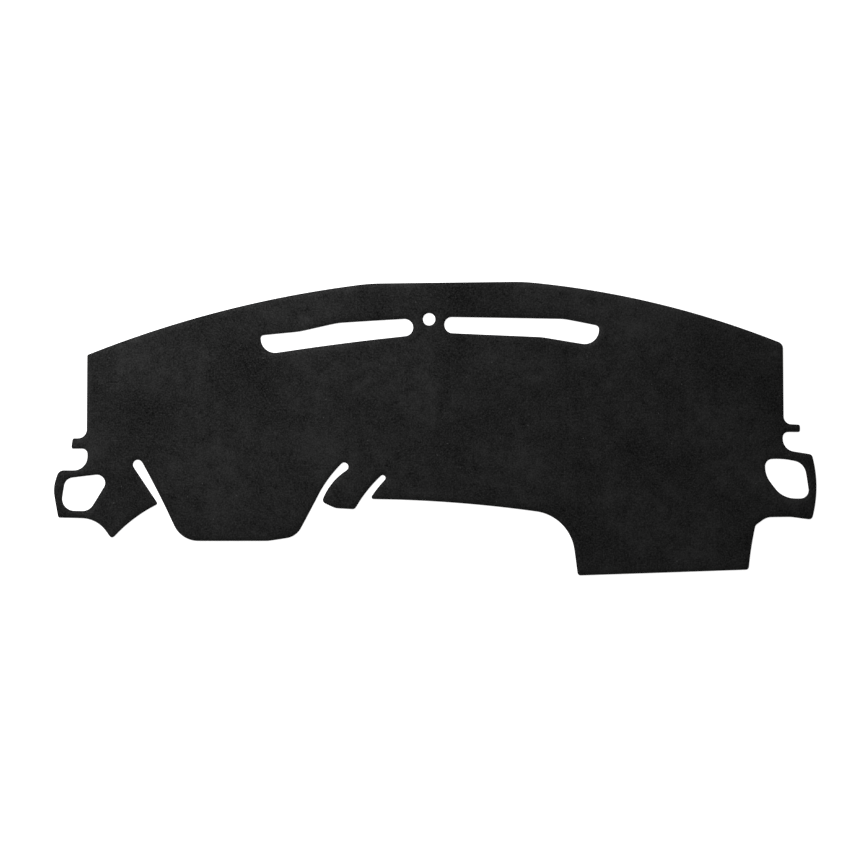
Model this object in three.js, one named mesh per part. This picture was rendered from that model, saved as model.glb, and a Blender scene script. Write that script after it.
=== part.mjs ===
// A dashboard cover mat: one sheet of brushed fabric, cut to fit a left-hand-drive car's dashboard. It lies flat with
// its face up, and its edge is drawn down and rounded all round, so the sheet is thinner at the rim than inside it.
// Millimetres, +Z up, +X towards the passenger's side and +Y towards the windscreen.
import * as THREE from "three";

// The sheet and its edge.
const matThickness = 4;
const topRollWidth = 3; // the face rolls down to the rim over this width
const topRollHeight = 1.6;
const underRollWidth = 0.8; // the underside rolls up to the rim
const underRollHeight = 0.9;
const cutCornerLand = 0.6; // radius left inside the roll at the tightest corners
const rollSteps = 3;
const chordError = 0.15; // the most that a chord leaves its curve

// The sensor hole, from whose centre the sheet is laid out.
const sensorHoleDiameter = 24.2;

// The windscreen edge: a nearly straight crown with a bowed run on each side of it.
const driverReach = 672.5; // sensor hole to the driver's side edge
const passengerReach = 697.5;
const crownAhead = 70.5; // sensor hole to the crown's driver end
const crownRise = 3.5; // from the crown's driver end to its passenger end
const crownToDriver = 115.5;
const crownToPassenger = 185;
const crownEndRadius = 430;
const driverCornerDrop = 140.5; // from the crown to each end of the windscreen edge
const passengerCornerDrop = 122;
const driverRunBow = 19;
const passengerCornerRadius = 14; // the driver's corner is cut sharp
const passengerRunBow = 19.5;

// The side edges, down to the tabs.
const driverSideLength = 164;
const driverSideFlare = 1; // the edge stands out this much more at the tab
const passengerSideLength = 157.5;
const passengerSideFlare = 1.4;

// Tabs that tuck into the gaps beside the doors.
const driverTabLength = 27.5;
const driverTabWidth = 20.5;
const driverTabSlant = 3; // the tip's rear corner stands out past its front corner
const driverTabRootRadius = 17.5;
const passengerTabLength = 32;
const passengerTabWidth = 14.5;
const passengerTabDroop = 1.8; // the tip's front corner lies behind the root
const passengerTabRootRadius = 15.5;

// Notches between the tabs and the ears.
const driverNotchWidth = 42.5;
const driverNotchInset = 1.4; // past the end of the side edge
const driverNotchFrontRadius = 10;
const driverNotchRearRadius = 27;
const passengerNotchWidth = 34.5;
const passengerNotchInset = 1.8;
const passengerNotchFrontRadius = 10.5;
const passengerNotchRearRadius = 25;

// The driver's ear, which frames a side air vent.
const driverEarLength = 55; // past the end of the side edge, at the ear's front
const driverEarDepth = 93;
const driverEarCrown = 11.5; // the outer edge's fullest point, past its front corner
const driverEarCrownBack = 35;
const driverEarCrownRadius = 70;
const driverEarRearSpread = 1; // the rear corner stands out past the front one
const driverEarRearSag = 2; // the rear edge drops this much towards the lug
const driverEarFrontRadius = 13.5;
const driverEarRearRadius = 4;

// The lug that hangs between the driver's ear and the door slit.
const lugRootInset = 20.5; // inwards of the end of the side edge
const lugRootRadius = 60;
const lugTipInset = 29; // inwards of its root
const lugTipDrop = 40.5; // behind its root
const lugTipRadius = 6;
const lugInnerHollow = 5.5;

// The lobe that covers the instrument hood.
const hoodFromDriverEdge = 185.5; // end of the side edge to the lobe's outer corner
const hoodWidth = 227;
const hoodBack = 436; // sensor hole to the lobe's rear edge
const hoodOuterRadius = 52;
const hoodHeelLength = 55.5; // the rear edge rises over this length to the inner corner
const hoodHeelRise = 8.5;
const hoodHeelRadius = 60;
const hoodInnerRadius = 39;
const hoodOuterHollow = 2.4; // its outer flank is bowed inwards
const hoodFlankLength = 81; // inner corner to the hood slit's mouth
const hoodFlankLean = 28;

// The door slit, between the lobe and the lug. Leans are in degrees off straight ahead.
const doorSlitLength = 182.5; // along the lobe
const doorSlitLean = 26.5;
const doorSlitWidth = 19.5;
const doorSlitEndTurn = 5.5; // the end leans further than the slit
const doorSlitEndRadius = 9.5;
const doorSlitLugLength = 96; // along the lug
const doorSlitLugTurn = 7;

// The hood slit, between the lobe and the tongue.
const hoodSlitLength = 95.5; // along the lobe
const hoodSlitLean = 36;
const hoodSlitBow = 4.5;
const hoodSlitMouthRadius = 150;
const hoodSlitWidth = 18.5;
const hoodSlitEndTurn = 8.5;
const hoodSlitEndRadius = 8;
const hoodSlitTongueLength = 88.5; // along the tongue
const hoodSlitTongueTurn = 4.5;
const hoodSlitTongueBow = 8.5;

// The tongue, between the hood slit and the radio slit.
const tongueHeelLength = 26.5;
const tongueHeelDrop = 12.5;
const tongueHeelRadius = 26;
const tongueToeLength = 38.5;
const tongueToeDrop = 2.2;
const tongueCornerRadius = 7.5;

// The radio slit, between the tongue and the knee edge.
const radioSlitLength = 88; // along the tongue
const radioSlitLean = 38.5;
const radioSlitBow = 3.5;
const radioSlitWidth = 10.5;
const radioSlitEndTurn = 2;
const radioSlitEndRadius = 6;
const radioSlitKneeLength = 53.5; // along the mat's middle
const radioSlitKneeBow = 1.4;
const radioSlitKneeRadius = 4;

// The knee edge and the glovebox flap beyond it.
const kneeEdgeHollow = 7.5;
const flapFromPassengerEdge = 69; // end of the side edge to the flap's outer corner
const flapWidth = 336;
const flapBack = 504; // sensor hole to the flap's rear edge, at its inner corner
const flapRearRise = 11.5; // from the inner corner to the outer one
const flapInnerLength = 116;
const flapInnerFlare = 15.5; // the flap's root is wider than its rear edge by this much on its inner side
const flapRootRadius = 90;
const flapOuterFlare = 13.5;
const flapOuterHollow = 1.4;
const flapShoulderDrop = 16; // from the ear's root to the flap's outer side
const flapShoulderRadius = 9;
const flapCornerRadius = 6;

// The passenger's ear, which frames the other side air vent.
const passengerEarLength = 55.5; // past the end of the side edge, at the ear's front
const passengerEarDroop = 9.5; // of its front edge, towards the outer corner
const passengerEarDepth = 128.5;
const passengerEarBow = 9;
const passengerEarCornerRadius = 8;
const passengerEarHeelLength = 41.5;
const passengerEarHeelRise = 5.5;
const passengerEarHeelRadius = 60;
const passengerEarRootLength = 47.5;
const passengerEarRootSag = 0.6;
const passengerEarRootRadius = 30;

// Windows in the ears. Bands are what is left between a window's corners and the ear's own.
const driverWindowOuterBand = 13;
const driverWindowFrontBand = 16;
const driverWindowFrontLength = 93;
const driverWindowFrontRise = 11;
const driverWindowFrontRadius = 18.5;
const driverWindowInnerRadius = 16;
const driverWindowRearBand = 14;
const driverWindowRearSpread = 10;
const driverWindowRearLength = 57;
const driverWindowRearDrop = 1.2;
const driverWindowRearRadius = 24;
const passengerWindowOuterBand = 14.5;
const passengerWindowFrontBand = 19;
const passengerWindowFrontLength = 77.5;
const passengerWindowFrontRise = 8.5;
const passengerWindowFrontBow = 5;
const passengerWindowInnerRadius = 15;
const passengerWindowOuterRadius = 32;
const passengerWindowRearBand = 42;
const passengerWindowRearSpread = 10.5;
const passengerWindowRearLength = 53;
const passengerWindowRearRadius = 16;
const passengerWindowInnerLength = 30.5;
const passengerWindowCutRadius = 50;

// Demister slots, one on each side of the sensor hole. Across is counted from a slot's near end.
const driverSlotGap = 31.5; // sensor hole to the near end
const driverSlotLength = 299.5;
const driverSlotNearAhead = 1.6; // sensor hole to the near end's front corner
const driverSlotNearWidth = 33;
const driverSlotNearRadius = 17;
const driverSlotWaistAcross = 148; // the front edge starts to dip here
const driverSlotWaistDrop = 9;
const driverSlotHipAcross = 223.5; // and has dipped here
const driverSlotHipDrop = 26;
const driverSlotBendRadius = 150;
const driverSlotFarDrop = 33.5;
const driverSlotFarWidth = 38.5;
const driverSlotRearHollow = 2;
const driverSlotFarFrontRadius = 6.5;
const driverSlotFarRearRadius = 29;
const passengerSlotGap = 30;
const passengerSlotLength = 304;
const passengerSlotNearAhead = 4.5;
const passengerSlotNearWidth = 31;
const passengerSlotNearFrontRadius = 14.5;
const passengerSlotNearRearRadius = 16.5;
const passengerSlotBendAcross = 235.5; // the front edge turns down here
const passengerSlotBendDrop = 4;
const passengerSlotHipAcross = 192; // and the rear edge here
const passengerSlotHipDrop = 8.5;
const passengerSlotBendRadius = 110;
const passengerSlotFarDrop = 17.5;
const passengerSlotFarWidth = 40.5;
const passengerSlotFarFrontRadius = 8.5;
const passengerSlotFarRearRadius = 28;

// Every outline is a list of corners that runs clockwise, seen from above. A corner holds the bow of the edge that
// leaves it, and a positive bow swells to the left of the way the outline runs.
const corner = (at, radius, bow = 0) => ({ at, radius, bow });
const place = (across, ahead) => new THREE.Vector2(across, ahead);
const beside = (point, across, ahead) => place(point.x + across, point.y + ahead);

// The point that lies a distance from another on a heading: degrees from straight ahead, to the right.
function along(point, distance, heading) {
  const angle = THREE.MathUtils.degToRad(heading);
  return beside(point, distance * Math.sin(angle), distance * Math.cos(angle));
}

const cutCornerRadius = topRollWidth + cutCornerLand;
const quarterTurn = 90;
const halfTurn = 180;
const closeness = 1e-4; // points nearer than this are one

// The windscreen edge's corners, and the side edges' other ends.
const crownDriverEnd = place(-crownToDriver, crownAhead);
const crownPassengerEnd = place(crownToPassenger, crownAhead + crownRise);
const driverCorner = place(-driverReach, crownDriverEnd.y - driverCornerDrop);
const passengerCorner = place(passengerReach - passengerSideFlare, crownPassengerEnd.y - passengerCornerDrop);
const driverEdgeEnd = beside(driverCorner, -driverSideFlare, -driverSideLength);
const passengerEdgeEnd = beside(passengerCorner, passengerSideFlare, -passengerSideLength);

function windscreenEdge() {
  return [
    corner(driverCorner, cutCornerRadius, driverRunBow),
    corner(crownDriverEnd, crownEndRadius),
    corner(crownPassengerEnd, crownEndRadius, passengerRunBow),
    corner(passengerCorner, passengerCornerRadius),
  ];
}

// The passenger's tab, the notch behind it and the ear's own corners.
const passengerTabFront = beside(passengerEdgeEnd, passengerTabLength, -passengerTabDroop);
const passengerTabRear = beside(passengerTabFront, 0, -passengerTabWidth);
const passengerNotchFront = place(passengerEdgeEnd.x - passengerNotchInset, passengerTabRear.y);
const passengerNotchRear = beside(passengerNotchFront, 0, -passengerNotchWidth);
const passengerEarFront = place(
  passengerEdgeEnd.x + passengerEarLength,
  passengerNotchRear.y - passengerEarDroop,
);
const passengerEarRear = beside(passengerEarFront, 0, -passengerEarDepth);
const passengerEarHeel = beside(passengerEarRear, -passengerEarHeelLength, passengerEarHeelRise);
const passengerEarRoot = beside(passengerEarHeel, -passengerEarRootLength, -passengerEarRootSag);

function passengerSide() {
  return [
    corner(passengerEdgeEnd, passengerTabRootRadius),
    corner(passengerTabFront, cutCornerRadius),
    corner(passengerTabRear, cutCornerRadius),
    corner(passengerNotchFront, passengerNotchFrontRadius),
    corner(passengerNotchRear, passengerNotchRearRadius),
    corner(passengerEarFront, passengerEarCornerRadius, passengerEarBow),
    corner(passengerEarRear, passengerEarCornerRadius),
    corner(passengerEarHeel, passengerEarHeelRadius),
    corner(passengerEarRoot, passengerEarRootRadius),
  ];
}

function flap() {
  const outerCorner = place(passengerEdgeEnd.x - flapFromPassengerEdge, flapRearRise - flapBack);
  const shoulder = place(outerCorner.x + flapOuterFlare, passengerEarRoot.y - flapShoulderDrop);
  const innerCorner = beside(outerCorner, -flapWidth, -flapRearRise);
  const innerRoot = beside(innerCorner, -flapInnerFlare, flapInnerLength);
  return [
    corner(shoulder, flapShoulderRadius, -flapOuterHollow),
    corner(outerCorner, flapCornerRadius),
    corner(innerCorner, flapCornerRadius),
    corner(innerRoot, flapRootRadius, -kneeEdgeHollow),
  ];
}

// The lobe over the instrument hood, and the slits and the tongue that follow from its flanks.
const hoodOuterCorner = place(driverEdgeEnd.x + hoodFromDriverEdge, -hoodBack);
const hoodInnerCorner = beside(hoodOuterCorner, hoodWidth, hoodHeelRise);
const hoodSlitMouth = along(hoodInnerCorner, hoodFlankLength, hoodFlankLean);

function tongueAndItsSlits() {
  const hoodSlitLobeEnd = along(hoodSlitMouth, hoodSlitLength, hoodSlitLean);
  const hoodSlitEndHeading = hoodSlitLean + hoodSlitEndTurn + quarterTurn;
  const hoodSlitTongueEnd = along(hoodSlitLobeEnd, hoodSlitWidth, hoodSlitEndHeading);
  const hoodSlitTongueHeading = hoodSlitLean + hoodSlitTongueTurn + halfTurn;
  const tongueOuterCorner = along(hoodSlitTongueEnd, hoodSlitTongueLength, hoodSlitTongueHeading);
  const tongueHeel = beside(tongueOuterCorner, tongueHeelLength, -tongueHeelDrop);
  const tongueInnerCorner = beside(tongueHeel, tongueToeLength, -tongueToeDrop);
  const radioSlitTongueEnd = along(tongueInnerCorner, radioSlitLength, radioSlitLean);
  const radioSlitEndHeading = radioSlitLean + radioSlitEndTurn + quarterTurn;
  const radioSlitKneeEnd = along(radioSlitTongueEnd, radioSlitWidth, radioSlitEndHeading);
  const radioSlitKneeHeading = radioSlitLean + halfTurn;
  const kneeEdgeEnd = along(radioSlitKneeEnd, radioSlitKneeLength, radioSlitKneeHeading);
  return [
    corner(kneeEdgeEnd, radioSlitKneeRadius, radioSlitKneeBow),
    corner(radioSlitKneeEnd, radioSlitEndRadius),
    corner(radioSlitTongueEnd, radioSlitEndRadius, -radioSlitBow),
    corner(tongueInnerCorner, tongueCornerRadius),
    corner(tongueHeel, tongueHeelRadius),
    corner(tongueOuterCorner, tongueCornerRadius, hoodSlitTongueBow),
    corner(hoodSlitTongueEnd, hoodSlitEndRadius),
    corner(hoodSlitLobeEnd, hoodSlitEndRadius, -hoodSlitBow),
    corner(hoodSlitMouth, hoodSlitMouthRadius),
  ];
}

function hoodLobe() {
  return [
    corner(hoodInnerCorner, hoodInnerRadius),
    corner(beside(hoodInnerCorner, -hoodHeelLength, -hoodHeelRise), hoodHeelRadius),
    corner(hoodOuterCorner, hoodOuterRadius, -hoodOuterHollow),
  ];
}

// The driver's tab, the notch behind it and the ear's own corners.
const driverTabFront = beside(driverEdgeEnd, -driverTabLength, 0);
const driverTabRear = beside(driverTabFront, -driverTabSlant, -driverTabWidth);
const driverNotchFront = place(driverEdgeEnd.x + driverNotchInset, driverTabRear.y);
const driverNotchRear = beside(driverNotchFront, 0, -driverNotchWidth);
const driverEarFront = place(driverEdgeEnd.x - driverEarLength, driverNotchRear.y);
const driverEarRear = beside(driverEarFront, -driverEarRearSpread, -driverEarDepth);

function lugAndDoorSlit() {
  const lobeEnd = along(hoodOuterCorner, doorSlitLength, -doorSlitLean);
  const lugEnd = along(lobeEnd, doorSlitWidth, -doorSlitLean - doorSlitEndTurn - quarterTurn);
  const lugInnerCorner = along(lugEnd, doorSlitLugLength, halfTurn - doorSlitLean - doorSlitLugTurn);
  const lugRoot = place(driverEdgeEnd.x + lugRootInset, driverEarRear.y - driverEarRearSag);
  const lugTip = beside(lugRoot, lugTipInset, -lugTipDrop);
  return [
    corner(lobeEnd, doorSlitEndRadius),
    corner(lugEnd, doorSlitEndRadius),
    corner(lugInnerCorner, cutCornerRadius, -lugInnerHollow),
    corner(lugTip, lugTipRadius),
    corner(lugRoot, lugRootRadius),
  ];
}

function driverSide() {
  const earCrown = beside(driverEarFront, -driverEarCrown, -driverEarCrownBack);
  return [
    corner(driverEarRear, driverEarRearRadius),
    corner(earCrown, driverEarCrownRadius),
    corner(driverEarFront, driverEarFrontRadius),
    corner(driverNotchRear, driverNotchRearRadius),
    corner(driverNotchFront, driverNotchFrontRadius),
    corner(driverTabRear, cutCornerRadius),
    corner(driverTabFront, cutCornerRadius),
    corner(driverEdgeEnd, driverTabRootRadius),
  ];
}

function driverWindow() {
  const frontOuter = beside(driverEarFront, driverWindowOuterBand, -driverWindowFrontBand);
  const frontInner = beside(frontOuter, driverWindowFrontLength, driverWindowFrontRise);
  const rearOuter = place(frontOuter.x - driverWindowRearSpread, driverEarRear.y + driverWindowRearBand);
  const rearInner = beside(rearOuter, driverWindowRearLength, -driverWindowRearDrop);
  return [
    corner(frontOuter, driverWindowFrontRadius),
    corner(frontInner, driverWindowInnerRadius),
    corner(rearInner, driverWindowRearRadius),
    corner(rearOuter, driverWindowRearRadius),
  ];
}

function passengerWindow() {
  const frontOuter = beside(passengerEarFront, -passengerWindowOuterBand, -passengerWindowFrontBand);
  const frontInner = beside(frontOuter, -passengerWindowFrontLength, passengerWindowFrontRise);
  const rearOuter = place(
    frontOuter.x + passengerWindowRearSpread,
    passengerEarRear.y + passengerWindowRearBand,
  );
  const rearInner = beside(rearOuter, -passengerWindowRearLength, 0);
  const innerRear = beside(frontInner, 0, -passengerWindowInnerLength);
  return [
    corner(frontInner, passengerWindowInnerRadius, passengerWindowFrontBow),
    corner(frontOuter, passengerWindowOuterRadius),
    corner(rearOuter, passengerWindowRearRadius),
    corner(rearInner, passengerWindowCutRadius),
    corner(innerRear, passengerWindowCutRadius),
  ];
}

function driverSlot() {
  const nearFront = place(-driverSlotGap, driverSlotNearAhead);
  const farFront = beside(nearFront, -driverSlotLength, -driverSlotFarDrop);
  return [
    corner(farFront, driverSlotFarFrontRadius),
    corner(beside(nearFront, -driverSlotHipAcross, -driverSlotHipDrop), driverSlotBendRadius),
    corner(beside(nearFront, -driverSlotWaistAcross, -driverSlotWaistDrop), driverSlotBendRadius),
    corner(nearFront, driverSlotNearRadius),
    corner(beside(nearFront, 0, -driverSlotNearWidth), driverSlotNearRadius, -driverSlotRearHollow),
    corner(beside(farFront, 0, -driverSlotFarWidth), driverSlotFarRearRadius),
  ];
}

function passengerSlot() {
  const nearFront = place(passengerSlotGap, passengerSlotNearAhead);
  const nearRear = beside(nearFront, 0, -passengerSlotNearWidth);
  const farFront = beside(nearFront, passengerSlotLength, -passengerSlotFarDrop);
  return [
    corner(nearFront, passengerSlotNearFrontRadius),
    corner(beside(nearFront, passengerSlotBendAcross, -passengerSlotBendDrop), passengerSlotBendRadius),
    corner(farFront, passengerSlotFarFrontRadius),
    corner(beside(farFront, 0, -passengerSlotFarWidth), passengerSlotFarRearRadius),
    corner(beside(nearRear, passengerSlotHipAcross, -passengerSlotHipDrop), passengerSlotBendRadius),
    corner(nearRear, passengerSlotNearRearRadius),
  ];
}

// The edge between two corners, as a curve that swells by its bow.
function edgeCurve(from, to) {
  const run = to.at.clone().sub(from.at);
  const left = place(-run.y, run.x).normalize();
  const middle = from.at.clone().add(to.at).multiplyScalar(0.5);
  return new THREE.QuadraticBezierCurve(from.at, middle.addScaledVector(left, 2 * from.bow), to.at);
}

// How far each corner's rounding reaches along its edges. Two that would meet on an edge give way in proportion.
function roundingReaches(corners, edges) {
  const before = (i) => (i + edges.length - 1) % edges.length;
  const after = (i) => (i + 1) % edges.length;
  const turns = edges.map((edge, i) => edges[before(i)].getTangent(1).angleTo(edge.getTangent(0)));
  const wanted = turns.map((turn, i) => corners[i].radius * Math.tan(turn / 2));
  const room = edges.map((edge, i) => Math.min(1, edge.getLength() / (wanted[i] + wanted[after(i)])));
  return wanted.map((reach, i) => reach * Math.min(room[i], room[before(i)]));
}

// The points of a corner's rounding, a curve that leaves both edges in their own directions.
function roundingPoints(start, startWay, end, endWay) {
  const turn = startWay.angleTo(endWay);
  const chord = start.distanceTo(end);
  const radius = chord / (2 * Math.sin(turn / 2));
  const handle = (4 / 3) * Math.tan(turn / 4) * radius;
  const startHandle = start.clone().addScaledVector(startWay, handle);
  const endHandle = end.clone().addScaledVector(endWay, -handle);
  const chordTurn = 2 * Math.acos(Math.max(1 - chordError / radius, 0));
  const chords = Math.max(2, Math.ceil(turn / chordTurn));
  return new THREE.CubicBezierCurve(start, startHandle, endHandle, end).getPoints(chords);
}

// The closed outline through a list of corners, as points no further apart than the chord error allows.
function outlinePoints(corners) {
  const count = corners.length;
  const edges = corners.map((from, i) => edgeCurve(from, corners[(i + 1) % count]));
  const reaches = roundingReaches(corners, edges);
  const points = [];
  edges.forEach((edge, i) => {
    const length = edge.getLength();
    const start = reaches[i] / length;
    const end = 1 - reaches[(i + 1) % count] / length;
    const chords = Math.max(1, Math.ceil((end - start) * Math.sqrt(Math.abs(corners[i].bow) / chordError)));
    for (let step = 0; step < chords; step += 1) {
      points.push(edge.getPointAt(THREE.MathUtils.lerp(start, end, step / chords)));
    }
    const next = edges[(i + 1) % count];
    const nextStart = reaches[(i + 1) % count] / next.getLength();
    const rounding = roundingPoints(
      edge.getPointAt(end), edge.getTangentAt(end), next.getPointAt(nextStart), next.getTangentAt(nextStart));
    points.push(...rounding.slice(0, -1));
  });
  return points.filter((point, i) => point.distanceTo(points[(i + 1) % points.length]) > closeness);
}

function roundHole(diameter) {
  const radius = diameter / 2;
  const chords = Math.ceil(Math.PI / Math.acos(1 - chordError / radius));
  return new THREE.EllipseCurve(0, 0, radius, radius).getPoints(chords).slice(0, -1);
}

// Moves each point of a loop into the sheet, which lies on the loop's left.
function insetLoop(points, inset) {
  const count = points.length;
  return points.map((point, i) => {
    const wayIn = point.clone().sub(points[(i + count - 1) % count]).normalize();
    const wayOut = points[(i + 1) % count].clone().sub(point).normalize();
    const bisector = place(-wayIn.y - wayOut.y, wayIn.x + wayOut.x).normalize();
    const squareness = Math.cos(wayIn.angleTo(wayOut) / 2);
    return point.clone().addScaledVector(bisector, inset / squareness);
  });
}

// The section of the sheet's edge, from the underside to the face.
function edgeSection() {
  const section = [
    { inset: underRollWidth, height: 0 },
    { inset: 0, height: underRollHeight },
  ];
  for (let step = 0; step <= rollSteps; step += 1) {
    const angle = (Math.PI / 2) * (step / rollSteps);
    section.push({
      inset: topRollWidth * (1 - Math.cos(angle)),
      height: matThickness - topRollHeight * (1 - Math.sin(angle)),
    });
  }
  return section;
}

// The sheet's solid: its loops carried through the edge section, with the underside and the face closed across.
function sheetGeometry(loops) {
  const section = edgeSection();
  const layers = section.map(({ inset }) => loops.map((loop) => insetLoop(loop, inset)));
  const layerSize = loops.reduce((sum, loop) => sum + loop.length, 0);
  const positions = [];
  const faces = [];
  layers.forEach((layer, level) => {
    layer.flat().forEach((point) => positions.push(point.x, point.y, section[level].height));
  });
  for (let level = 0; level + 1 < section.length; level += 1) {
    let first = level * layerSize;
    for (const loop of loops) {
      for (let i = 0; i < loop.length; i += 1) {
        const here = first + i;
        const next = first + ((i + 1) % loop.length);
        faces.push(here, next, next + layerSize, here, next + layerSize, here + layerSize);
      }
      first += loop.length;
    }
  }
  const faceStart = (section.length - 1) * layerSize;
  const underside = THREE.ShapeUtils.triangulateShape(layers[0][0], layers[0].slice(1));
  underside.forEach(([a, b, c]) => faces.push(c, b, a));
  const face = THREE.ShapeUtils.triangulateShape(layers.at(-1)[0], layers.at(-1).slice(1));
  face.forEach(([a, b, c]) => faces.push(faceStart + a, faceStart + b, faceStart + c));
  const geometry = new THREE.BufferGeometry();
  geometry.setAttribute("position", new THREE.Float32BufferAttribute(positions, 3));
  geometry.setIndex(faces);
  geometry.computeVertexNormals();
  return geometry;
}

// The edge runs with the sheet on its left, and so does each opening.
const outline = outlinePoints([
  ...windscreenEdge(),
  ...passengerSide(),
  ...flap(),
  ...tongueAndItsSlits(),
  ...hoodLobe(),
  ...lugAndDoorSlit(),
  ...driverSide(),
]).reverse();
const openings = [
  roundHole(sensorHoleDiameter).reverse(),
  outlinePoints(driverSlot()),
  outlinePoints(passengerSlot()),
  outlinePoints(driverWindow()),
  outlinePoints(passengerWindow()),
];

// Brushed black fabric.
const brushedFabric = new THREE.MeshStandardMaterial({ color: 0x202020, roughness: 0.95, metalness: 0 });

// The sheet lies centred on the origin, with its underside at height zero.
const mat = new THREE.Mesh(sheetGeometry([outline, ...openings]), brushedFabric);
mat.name = "cover_mat";
const middle = new THREE.Box2().setFromPoints(outline).getCenter(place(0, 0));
mat.position.set(-middle.x, -middle.y, 0);

const dashboardCoverMat = new THREE.Group();
dashboardCoverMat.add(mat);

export default dashboardCoverMat;
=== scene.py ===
"""Dresses the dashboard cover mat: black brushed fabric with a crushed nap, laid flat with its face up.

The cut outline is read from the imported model. A dense sheet is meshed inside it, and Geometry Nodes give it
its section: a face that rolls over at the rim, gentle swells, and clumps of nap. Lengths are in metres.
"""

from __future__ import annotations

import logging
import math
from dataclasses import dataclass
from enum import Enum
from typing import Any, ClassVar, Union

import bmesh
import bpy
import numpy as np
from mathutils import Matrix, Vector
from mathutils.geometry import delaunay_2d_cdt
from mathutils.kdtree import KDTree

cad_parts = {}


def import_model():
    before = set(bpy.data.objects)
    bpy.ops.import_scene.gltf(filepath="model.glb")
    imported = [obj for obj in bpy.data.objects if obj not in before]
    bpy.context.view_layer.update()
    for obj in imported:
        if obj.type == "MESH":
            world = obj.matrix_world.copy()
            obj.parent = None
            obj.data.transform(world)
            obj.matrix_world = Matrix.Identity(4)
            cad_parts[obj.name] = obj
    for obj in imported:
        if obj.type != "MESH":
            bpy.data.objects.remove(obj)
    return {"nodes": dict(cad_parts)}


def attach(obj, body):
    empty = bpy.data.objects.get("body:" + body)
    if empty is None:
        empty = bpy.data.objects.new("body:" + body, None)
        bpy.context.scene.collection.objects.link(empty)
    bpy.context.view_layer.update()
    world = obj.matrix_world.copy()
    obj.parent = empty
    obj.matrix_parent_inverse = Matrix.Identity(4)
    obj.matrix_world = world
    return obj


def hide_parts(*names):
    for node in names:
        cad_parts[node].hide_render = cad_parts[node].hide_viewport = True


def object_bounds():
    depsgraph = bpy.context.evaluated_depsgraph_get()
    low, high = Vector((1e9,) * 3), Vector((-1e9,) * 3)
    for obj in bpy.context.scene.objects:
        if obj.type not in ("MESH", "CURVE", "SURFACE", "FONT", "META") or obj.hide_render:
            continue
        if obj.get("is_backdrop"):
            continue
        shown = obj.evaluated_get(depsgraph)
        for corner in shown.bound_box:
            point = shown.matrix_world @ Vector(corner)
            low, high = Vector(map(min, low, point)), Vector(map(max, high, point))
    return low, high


logging.basicConfig(level=logging.INFO, format="%(message)s")
log = logging.getLogger("cover_mat")

Triple = tuple[float, float, float]
Pair = tuple[float, float]
Operand = Union["Wire", float, Triple]

CAD_NODE = "cover_mat"
BODY = "root"

EDGE_DISTANCE = "edge_distance"
SIDE = "side"
TOUCHING = 1e-6
MIDDLE = 0.5


class Side(Enum):
    """Which side of the sheet a point lies on."""

    FACE = 1.0
    RIM = 0.0
    BACK = -1.0


class Wire:
    """An output socket, on which Python's operators add Math nodes, or Vector Math nodes for vectors."""

    def __init__(self, canvas: Canvas, socket: bpy.types.NodeSocket | None) -> None:
        """Holds the socket, if the node has one, and the canvas whose tree it is in."""
        self.canvas = canvas
        self.socket = socket

    @property
    def is_vector(self) -> bool:
        """True for a vector or a colour."""
        return self.socket.type in {"VECTOR", "RGBA"}

    def output(self, name: str) -> Wire:
        """Another output of the same node."""
        return Wire(self.canvas, self.socket.node.outputs[name])

    def _join(self, operation: str, first: Operand, second: Operand) -> Wire:
        """Adds the node of an operation on two operands.

        Args:
            operation: The operation's name, which Math and Vector Math share.
            first: A wire, a number or a triple.
            second: A wire, a number or a triple.

        Returns:
            The result's wire.
        """
        settings = {"operation": operation}
        if any(isinstance(each, Wire) and each.is_vector for each in (first, second)):
            inputs = {0: self._spread(first), 1: self._spread(second)}
            return self.canvas.add("ShaderNodeVectorMath", settings, inputs)
        return self.canvas.add("ShaderNodeMath", settings, {0: first, 1: second})

    @staticmethod
    def _spread(operand: Operand) -> Operand:
        """A number as a triple, and anything else as it is."""
        return (operand, operand, operand) if isinstance(operand, (int, float)) else operand

    def __add__(self, other: Operand) -> Wire:
        """self + other."""
        return self._join("ADD", self, other)

    def __radd__(self, other: Operand) -> Wire:
        """other + self."""
        return self._join("ADD", other, self)

    def __sub__(self, other: Operand) -> Wire:
        """self - other."""
        return self._join("SUBTRACT", self, other)

    def __rsub__(self, other: Operand) -> Wire:
        """other - self."""
        return self._join("SUBTRACT", other, self)

    def __mul__(self, other: Operand) -> Wire:
        """self * other."""
        return self._join("MULTIPLY", self, other)

    def __rmul__(self, other: Operand) -> Wire:
        """other * self."""
        return self._join("MULTIPLY", other, self)

    def __truediv__(self, other: Operand) -> Wire:
        """self / other."""
        return self._join("DIVIDE", self, other)

    def __rtruediv__(self, other: Operand) -> Wire:
        """other / self."""
        return self._join("DIVIDE", other, self)

    def least(self, other: Operand) -> Wire:
        """The smaller of self and other."""
        return self._join("MINIMUM", self, other)

    def function(self, operation: str) -> Wire:
        """A Math node of one operand."""
        return self.canvas.add("ShaderNodeMath", {"operation": operation}, {0: self})

    def length(self) -> Wire:
        """The vector's length."""
        return self.canvas.add("ShaderNodeVectorMath", {"operation": "LENGTH"}, {0: self}).output("Value")


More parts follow.
